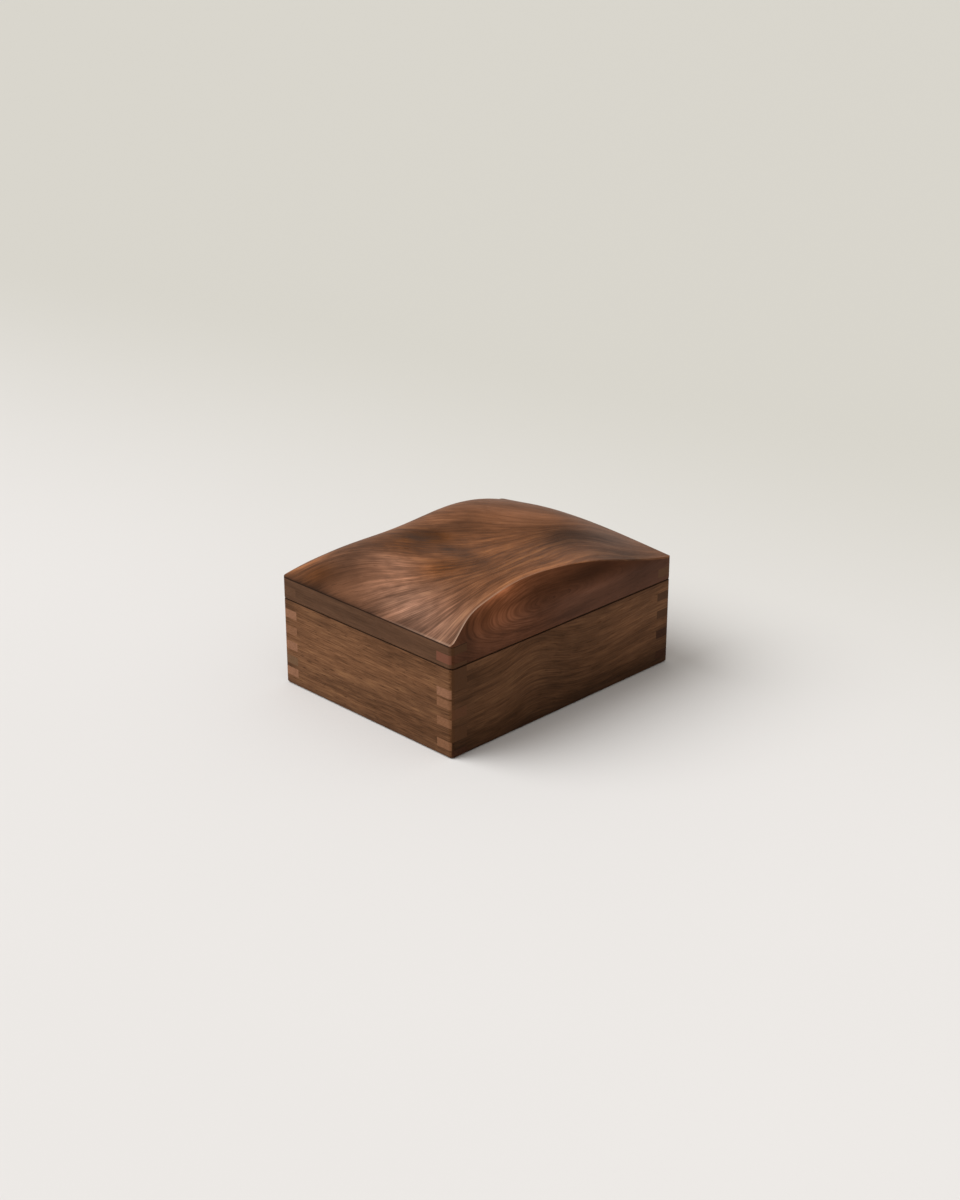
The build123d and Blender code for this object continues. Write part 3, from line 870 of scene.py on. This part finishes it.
def rubbed_and_highlight_over(shape, x, y):
    """Painted highlight, with rubbed wear, that makes the crown pale: along the ridge, most at the near
    corner, and along the left edge."""
    ridge_width, edge_width, edge_inset = 0.8 * MM, 0.5 * MM, 0.4 * MM
    ridge_reach, edge_reach = 0.55 * BOX_WIDTH, 0.45 * BOX_DEPTH
    places = np.linspace(CROWN_LOW.x, CROWN_HIGH.x, 80)
    from_ridge = (y - CROWN_LOW.y - np.interp(x, places, shape.ridge(places))) / ridge_width
    fading = np.clip(1 - (x - CROWN_LOW.x) / ridge_reach, 0, 1)
    from_edge = (x - CROWN_LOW.x - edge_inset) / edge_width
    behind = np.clip(1 - (y - CROWN_LOW.y) / edge_reach, 0, 1)
    return np.maximum(np.exp(-from_ridge**2) * fading, 0.5 * np.exp(-from_edge**2) * behind)


def mesh_from_faces(name, corners, faces, material):
    """A new smooth piece from points in metres and lists of corner numbers."""
    mesh = bpy.data.meshes.new(name)
    mesh.from_pydata([tuple(corner) for corner in corners], [], faces)
    mesh.validate()
    mesh.materials.append(material)
    mesh.shade_smooth()
    return linked(name, mesh)


def carve_crown(settings, material):
    """The crown as one closed mesh: carved top, lip and flat underside."""
    shape = CrownShape(settings)
    x, y, ridge_row = crown_grid(shape)
    x, y = round_corners(x, y, settings.corner_radius)
    rows, columns = x.shape
    z = shape.height(x.ravel(), y.ravel())
    corners = list(np.stack([x.ravel(), y.ravel(), z], axis=1))
    faces = []
    for row in range(rows - 1):
        for column in range(columns - 1):
            first = row * columns + column
            faces.append((first, first + 1, first + columns + 1, first + columns))
    rim = list(range(columns))
    rim += [row * columns + columns - 1 for row in range(1, rows)]
    rim += [(rows - 1) * columns + column for column in range(columns - 2, -1, -1)]
    rim += [row * columns for row in range(rows - 2, 0, -1)]
    base = len(corners)
    corners += [(corners[point][0], corners[point][1], CROWN_LOW.z) for point in rim]
    for place, point in enumerate(rim):
        follow = (place + 1) % len(rim)
        faces.append((rim[follow], point, base + place, base + follow))
    faces.append(tuple(base + place for place in reversed(range(len(rim)))))
    piece = mesh_from_faces("carved_crown", corners, faces, material)
    all_x, all_y, _ = np.array(corners).T
    facet = np.zeros(len(corners))
    facet[:ridge_row * columns] = 1
    facet[base:] = all_y[base:] < CROWN_LOW.y + settings.corner_radius
    fields = {
        "facet": facet,
        "across_grain": across_grain(all_x, all_y) * MM,
        # Painted highlights and shade, with the wood's own tone, over the top
        "shade": np.exp(over_spots(SHADE_SPOTS, all_x, all_y)),
        # Painted sheen in the greyer places, with the wood's own warmth
        "warmth": 1 + over_spots(WARMTH_AND_SHEEN_SPOTS, all_x, all_y),
        "contrast": np.clip(1 + over_spots(CONTRAST_SPOTS, all_x, all_y), 0.2, 1.4),
        # Painted highlight with rubbed wear, along the ridge and the left edge
        "rubbed": rubbed_and_highlight_over(shape, all_x, all_y),
        # Painted shade in the glue line round the crown's edge
        "glue": np.clip(GLUE_SHADE_START - shape.from_edge(all_x, all_y) / GLUE_SHADE_WIDTH, 0, 1),
    }
    # The underside is plain wood with its grain along X
    fields["across_grain"][base:] = all_y[base:] / ACROSS_STRETCH
    for name, plain in (("shade", 1), ("warmth", 1), ("contrast", 1), ("rubbed", 0)):
        fields[name][base:] = plain
    for name, values in fields.items():
        attribute = piece.data.attributes.new(name, "FLOAT", "POINT")
        attribute.data.foreach_set("value", values.astype(np.float32))
    piece.data.set_sharp_from_angle(angle=CROWN_SHARP_ANGLE)
    return piece


def crown_walnut(walnut):
    """Carved and sanded walnut: the cut runs through the growth layers, so the figure fans out from the
    near corner, gathers behind the ridge and bends round the hump."""
    material, tree = new_material("walnut_crown_carved")
    spot = add_node(tree, "ShaderNodeTexCoord").outputs["Object"]
    x, y, z = add_node(tree, "ShaderNodeSeparateXYZ", spot).outputs
    fields = {
        name: add_node(tree, "ShaderNodeAttribute", attribute_name=name).outputs["Fac"]
        for name in ("facet", "across_grain", "shade", "warmth", "contrast", "rubbed", "glue")
    }
    lines = fields["across_grain"]
    across = add_node(tree, "ShaderNodeMath", lines, ACROSS_STRETCH, operation="MULTIPLY")
    along = add_node(tree, "ShaderNodeMath", x, CROWN_RUN_X, operation="MULTIPLY")
    along = add_node(tree, "ShaderNodeMath", y, CROWN_RUN_Y, along, operation="MULTIPLY_ADD")
    figure = walnut_figure(tree, along, across, 0.0, 11.0, walnut, CROWN_WANDER)
    colour = board_colour(tree, figure, tones_of(walnut, 1.0, 0.35), CROWN_FIGURE, fields["contrast"])
    # Shade paints highlights and shade over the slopes, warmth paints greyer sheen, both with the wood's
    # own tone
    toning = {"Color": colour, "Saturation": fields["warmth"], "Value": fields["shade"]}
    colour = add_node(tree, "ShaderNodeHueSaturation", inputs=toning)
    # Painted highlight with rubbed wear: the pale colour along the ridge and the left edge
    worn_and_highlight = add_node(tree, "ShaderNodeMath", fields["rubbed"], 0.8, operation="MULTIPLY")
    colour = add_node(tree, "ShaderNodeMix", worn_and_highlight, colour, walnut.worn_and_highlight, data_type="RGBA")
    over = add_node(tree, "ShaderNodeMapRange", z, CROWN_LOW.z, CROWN_LOW.z + UNDERSIDE)
    # Painted shade in the glue line along the crown's lowest edge
    glue = add_node(tree, "ShaderNodeMath", fields["glue"], over, operation="MULTIPLY")
    low, high = (CROWN_LOW.z + reach for reach in GLUE_SHADE_ABOVE)
    ending = add_node(tree, "ShaderNodeMapRange", z, low, high, DUST_AND_SHADE_DEPTH, 0.0)
    glue = add_node(tree, "ShaderNodeMath", glue, ending, operation="MULTIPLY")
    colour = add_node(tree, "ShaderNodeMix", glue, colour, walnut.joint_dust_and_shade, data_type="RGBA")
    _, front = lid_front(tree, x, z, 0.0, walnut)
    front_share = add_node(tree, "ShaderNodeMath", fields["facet"], over, operation="MULTIPLY")
    colour = add_node(tree, "ShaderNodeMix", front_share, colour, front, data_type="RGBA")
    finish_walnut(tree, colour, figure, walnut)
    return material


class KEEPSAKE_OT_case(bpy.types.Operator):
    """Finish the case's four walls and its bottom"""

    bl_idname = "keepsake.case"
    bl_label = "Finish the case"

    def execute(self, context):
        walnut = context.scene.keepsake_walnut
        span = (CASE_LOW.z, CASE_HEIGHT)
        boards = {
            "left_wall": walnut_board(
                "walnut_left_wall", "Y", 1.0, walnut, QUIET_FIGURE,
                fingers=(*span, NEAR_FRONT_FINGERS), places=LEFT_PLACES,
            ),
            "front_wall": walnut_board(
                "walnut_front_wall", "X", 41.0, walnut, LIVELY_FIGURE, 0.84,
                fingers=(*span, NEAR_FINGERS), warp=arched_front, places=FRONT_PLACES,
            ),
            "back_wall": walnut_board(
                "walnut_back_wall", "X", 61.0, walnut, LIVELY_FIGURE, fingers=(*span, FAR_FINGERS)
            ),
            "right_wall": walnut_board(
                "walnut_right_wall", "Y", 71.0, walnut, QUIET_FIGURE, fingers=(*span, RIGHT_FINGERS)
            ),
            "bottom_panel": walnut_board("walnut_bottom", "X", 81.0, walnut, QUIET_FIGURE),
        }
        for node_name, material in boards.items():
            dress(node_name, material)
        return {"FINISHED"}


class KEEPSAKE_OT_lid_frame(bpy.types.Operator):
    """Finish the four rails of the lid frame"""

    bl_idname = "keepsake.lid_frame"
    bl_label = "Finish the lid frame"

    def execute(self, context):
        walnut = context.scene.keepsake_walnut
        span = (RAIL_LOW.z, RAIL_HIGH.z - RAIL_LOW.z)
        rails = {
            "lid_left_rail": walnut_board(
                "walnut_left_rail", "Y", 91.0, walnut, PLAIN_FIGURE, 0.66, 0.07,
                fingers=(*span, LID_FRONT_FINGER), places=LEFT_RAIL_PLACES,
            ),
            "lid_front_rail": front_rail_walnut(walnut),
            "lid_back_rail": walnut_board(
                "walnut_back_rail", "X", 101.0, walnut, LIVELY_FIGURE, 0.76, 0.07
            ),
            "lid_right_rail": walnut_board(
                "walnut_right_rail", "Y", 111.0, walnut, PLAIN_FIGURE, 0.85, 0.05
            ),
        }
        for node_name, material in rails.items():
            dress(node_name, material)
        return {"FINISHED"}


class KEEPSAKE_OT_crown(bpy.types.Operator):
    """Carve the crown on the lid frame"""

    bl_idname = "keepsake.crown"
    bl_label = "Carve the crown"

    def execute(self, context):
        material = crown_walnut(context.scene.keepsake_walnut)
        piece = carve_crown(context.scene.keepsake_crown, material)
        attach(piece, "lid")
        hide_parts("lid_top_panel")
        return {"FINISHED"}


def brushed_brass(hinge):
    """Brass, brushed along the hinge and left unlacquered: warm, with fine lines and a faint tarnish."""
    material, tree = new_material("brushed_brass")
    place = add_node(tree, "ShaderNodeTexCoord").outputs["Object"]
    lines = patches(tree, place, BRUSHING, 5.0, 2.0)
    tarnish = patches(tree, place, TARNISH, 8.0, 3.0)
    dulled = add_node(tree, "ShaderNodeMapRange", tarnish, *TARNISH_EDGE, 0.0, TARNISH_DEPTH, **SMOOTH)
    dull = tuple(part * DULL_BRASS for part in hinge.brass)
    colour = add_node(tree, "ShaderNodeMix", dulled, hinge.brass, dull, data_type="RGBA")
    rough = add_node(tree, "ShaderNodeMath", lines, 0.25, 0.1, operation="MULTIPLY_ADD")
    rough = add_node(tree, "ShaderNodeMath", tarnish, 0.2, rough, operation="MULTIPLY_ADD")
    brushed = {"Strength": 0.2, "Distance": BRUSHED_RELIEF, "Height": lines}
    bump = add_node(tree, "ShaderNodeBump", inputs=brushed)
    surface = {"Base Color": colour, "Metallic": 1.0, "Roughness": rough, "Normal": bump}
    shader = add_node(tree, "ShaderNodeBsdfPrincipled", inputs=surface)
    add_node(tree, "ShaderNodeOutputMaterial", shader)
    return material


class KEEPSAKE_OT_hinges(bpy.types.Operator):
    """Finish the brass leaves and pins"""

    bl_idname = "keepsake.hinges"
    bl_label = "Finish the hinges"

    def execute(self, context):
        brass = brushed_brass(context.scene.keepsake_hinge)
        for node_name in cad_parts:
            if node_name.startswith("hinge_"):
                dress(node_name, brass)
        return {"FINISHED"}


def turned_profile(hinge):
    """Radius and depth of a countersunk wood screw, from its head's middle to its point."""
    head, shank, length = hinge.screw_head_radius, hinge.screw_radius, hinge.screw_length
    countersink = head - shank
    return [
        (head * 0.5, 0.0),
        (head * 0.96, 0.0),
        (head, HEAD_ARRIS),
        (shank, countersink),
        (shank, length * 0.7),
        (shank * 0.35, length * 0.95),
        (0.0, length),
    ]


def make_screw(name, hinge, place, up, turn, material):
    """One slotted wood screw, its head flush with the leaf's inner face."""
    shape = bmesh.new()
    angles = [math.tau * step / SCREW_STEPS for step in range(SCREW_STEPS)]
    rings = [
        [shape.verts.new((radius * math.cos(angle), radius * math.sin(angle), -depth)) for angle in angles]
        for radius, depth in turned_profile(hinge)
    ]
    for upper, lower in zip(rings, rings[1:]):
        for step in range(SCREW_STEPS):
            follow = (step + 1) % SCREW_STEPS
            shape.faces.new((upper[step], lower[step], lower[follow], upper[follow]))
    shape.faces.new(rings[0])
    bmesh.ops.remove_doubles(shape, verts=shape.verts, dist=MERGE_DISTANCE)
    mesh = mesh_from_shape(name, shape)
    mesh.materials.append(material)
    mesh.shade_smooth()
    mesh.set_sharp_from_angle(angle=SCREW_SHARP_ANGLE)
    piece = linked(name, mesh)
    cut_slot(piece, hinge)
    flip = Matrix.Rotation(math.pi, 4, "X") if up > 0 else Matrix.Identity(4)
    piece.data.transform(Matrix.Translation(place) @ flip @ Matrix.Rotation(turn, 4, "Z"))
    return piece


def cut_slot(piece, hinge):
    """Cuts the driver slot across a screw's head."""
    reach = hinge.screw_head_radius * SLOT_REACH
    shape = bmesh.new()
    bmesh.ops.create_cube(shape, size=1.0)
    bmesh.ops.scale(shape, vec=(2 * reach, hinge.slot_width, 2 * SLOT_DEPTH), verts=shape.verts)
    cutter = linked("slot_cutter", mesh_from_shape("slot_cutter", shape))
    cut = piece.modifiers.new("slot", "BOOLEAN")
    cut.operation = "DIFFERENCE"
    cut.object = cutter
    bpy.context.view_layer.update()
    finished = piece.evaluated_get(bpy.context.evaluated_depsgraph_get())
    slotted = bpy.data.meshes.new_from_object(finished)
    piece.modifiers.clear()
    piece.data = slotted
    bpy.data.objects.remove(cutter)


class KEEPSAKE_OT_screws(bpy.types.Operator):
    """Drive the hinges' slotted screws"""

    bl_idname = "keepsake.screws"
    bl_label = "Drive the hinge screws"

    def execute(self, context):
        hinge = context.scene.keepsake_hinge
        brass = brushed_brass(hinge)
        for body, up in (("case", -1), ("lid", 1)):
            for side in ("left", "right"):
                low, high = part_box(f"hinge_{body}_leaf_{side}")
                pin_low, pin_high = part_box(f"hinge_pin_{side}")
                pin = (pin_low + pin_high) / 2
                y = (low.y + pin.y - hinge.barrel_radius) / 2
                z = pin.z + up * HEAD_OFFSET
                first_turn = FIRST_TURN + LEFT_TURN * (side == "left") + LID_TURN * (up > 0)
                for index, x in enumerate((low.x + hinge.end_distance, high.x - hinge.end_distance)):
                    turn = math.radians(first_turn + NEXT_TURN * index)
                    name = f"{body}_screw_{side}_{index + 1}"
                    piece = make_screw(name, hinge, Vector((x, y, z)), up, turn, brass)
                    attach(piece, body)
        return {"FINISHED"}


def matt_floor(stage):
    """Matt painted board: pale, with a barely visible mottle, and painted shade that makes it darker away
    from the light.
    """
    material, tree = new_material("matt_floor")
    place = add_node(tree, "ShaderNodeTexCoord").outputs["Object"]
    mottle = patches(tree, place, (FLOOR_MOTTLE,) * 3, 2.0, 3.0)
    darker = tuple(part * MOTTLED_FLOOR for part in stage.floor)
    colour = add_node(tree, "ShaderNodeMix", mottle, stage.floor, darker, data_type="RGBA")
    x, y, _ = add_node(tree, "ShaderNodeSeparateXYZ", place).outputs
    # Painted shade: the floor turns darker away from the light
    away = add_node(tree, "ShaderNodeMath", y, FLOOR_TURN, x, operation="MULTIPLY_ADD")
    away = add_node(tree, "ShaderNodeMapRange", away, *FLOOR_FADE, **SMOOTH)
    far = tuple(part * gain for part, gain in zip(stage.floor, FAR_FLOOR))
    colour = add_node(tree, "ShaderNodeMix", away, colour, far, data_type="RGBA")
    surface = {"Base Color": colour, "Roughness": 0.9, "Specular IOR Level": 0.2}
    shader = add_node(tree, "ShaderNodeBsdfPrincipled", inputs=surface)
    add_node(tree, "ShaderNodeOutputMaterial", shader)
    return material


def make_floor(stage):
    """A wide round floor under the box."""
    shape = bmesh.new()
    bmesh.ops.create_circle(shape, cap_ends=True, radius=FLOOR_RADIUS, segments=FLOOR_SIDES)
    mesh = mesh_from_shape("floor", shape)
    mesh.materials.append(matt_floor(stage))
    floor = linked("floor", mesh)


def make_world(stage):
    """Even light all round; the camera, glass and metal see the backdrop's colour instead."""
    world = bpy.data.worlds.new("studio")
    bpy.context.scene.world = world
    world.use_nodes = True
    tree = world.node_tree
    tree.nodes.clear()
    rays = add_node(tree, "ShaderNodeLightPath").outputs
    seen = rays["Is Camera Ray"]
    for kind in ("Is Glossy Ray", "Is Transmission Ray"):
        seen = add_node(tree, "ShaderNodeMath", seen, rays[kind], operation="MAXIMUM")
    light = add_node(tree, "ShaderNodeBackground", SKY_TINT, stage.sky_strength)
    backdrop = add_node(tree, "ShaderNodeBackground", stage.backdrop, 1.0)
    mixed = add_node(tree, "ShaderNodeMixShader", seen, light, backdrop)
    add_node(tree, "ShaderNodeOutputWorld", mixed)


def make_key_light(stage):
    """A distant white lamp, high on the left of the view, broad enough for soft shadows."""
    light = bpy.data.lights.new("key", "SUN")
    light.energy = stage.key_strength
    light.angle = math.radians(KEY_SPREAD)
    lamp = linked("key", light)
    lamp.rotation_euler = Vector(KEY_DIRECTION).to_track_quat("Z", "Y").to_euler()


def make_camera(stage):
    """The photograph's view: over the near corner, looking down at the box."""
    camera = linked("camera", bpy.data.cameras.new("camera"))
    camera.data.lens = stage.lens
    camera.data.sensor_width = SENSOR_WIDTH
    heading, tilt, roll = (math.radians(angle) for angle in CAMERA_ANGLES)
    turn = Matrix.Rotation(heading - math.pi / 2, 4, "Z") @ Matrix.Rotation(math.pi / 2 - tilt, 4, "X")
    turn = turn @ Matrix.Rotation(roll, 4, "Z")
    camera.matrix_world = Matrix.Translation(CAMERA_PLACE) @ turn
    bpy.context.scene.camera = camera


class KEEPSAKE_OT_stage(bpy.types.Operator):
    """Set up the floor, the light and the camera"""

    bl_idname = "keepsake.stage"
    bl_label = "Set up the stage"

    def execute(self, context):
        stage = context.scene.keepsake_stage
        make_floor(stage)
        make_world(stage)
        make_key_light(stage)
        make_camera(stage)
        context.scene.view_settings.view_transform = "Standard"
        return {"FINISHED"}


class KEEPSAKE_PT_panel(bpy.types.Panel):
    """Lists the box's pieces, colours and sizes"""

    bl_label = "Keepsake box"
    bl_space_type = "VIEW_3D"
    bl_region_type = "UI"
    bl_category = "Keepsake box"

    def draw(self, context):
        for group_name, operators in PANEL_ROWS:
            box = self.layout.box()
            group = getattr(context.scene, group_name)
            for name in group.bl_rna.properties.keys():
                if name not in ("rna_type", "name"):
                    box.prop(group, name)
            for operator in operators:
                box.operator(operator.bl_idname)


PANEL_ROWS = (
    ("keepsake_walnut", (KEEPSAKE_OT_case, KEEPSAKE_OT_lid_frame)),
    ("keepsake_ends", ()),
    ("keepsake_crown", (KEEPSAKE_OT_crown,)),
    ("keepsake_hinge", (KEEPSAKE_OT_hinges, KEEPSAKE_OT_screws)),
    ("keepsake_stage", (KEEPSAKE_OT_stage,)),
)
SETTINGS = {
    "keepsake_walnut": WalnutSettings,
    "keepsake_ends": EndGrainSettings,
    "keepsake_crown": CrownSettings,
    "keepsake_hinge": HingeSettings,
    "keepsake_stage": StageSettings,
}
CLASSES = (
    *SETTINGS.values(),
    KEEPSAKE_OT_case,
    KEEPSAKE_OT_lid_frame,
    KEEPSAKE_OT_crown,
    KEEPSAKE_OT_hinges,
    KEEPSAKE_OT_screws,
    KEEPSAKE_OT_stage,
    KEEPSAKE_PT_panel,
)


def register():
    for cls in CLASSES:
        bpy.utils.register_class(cls)
    for name, group in SETTINGS.items():
        setattr(bpy.types.Scene, name, PointerProperty(type=group))


def unregister():
    for name in SETTINGS:
        delattr(bpy.types.Scene, name)
    for cls in reversed(CLASSES):
        bpy.utils.unregister_class(cls)


def main():
    """Makes the whole scene."""
    register()
    bpy.ops.keepsake.case()
    bpy.ops.keepsake.lid_frame()
    bpy.ops.keepsake.crown()
    bpy.ops.keepsake.hinges()
    bpy.ops.keepsake.screws()
    bpy.ops.keepsake.stage()


if __name__ == "__main__":
    main()
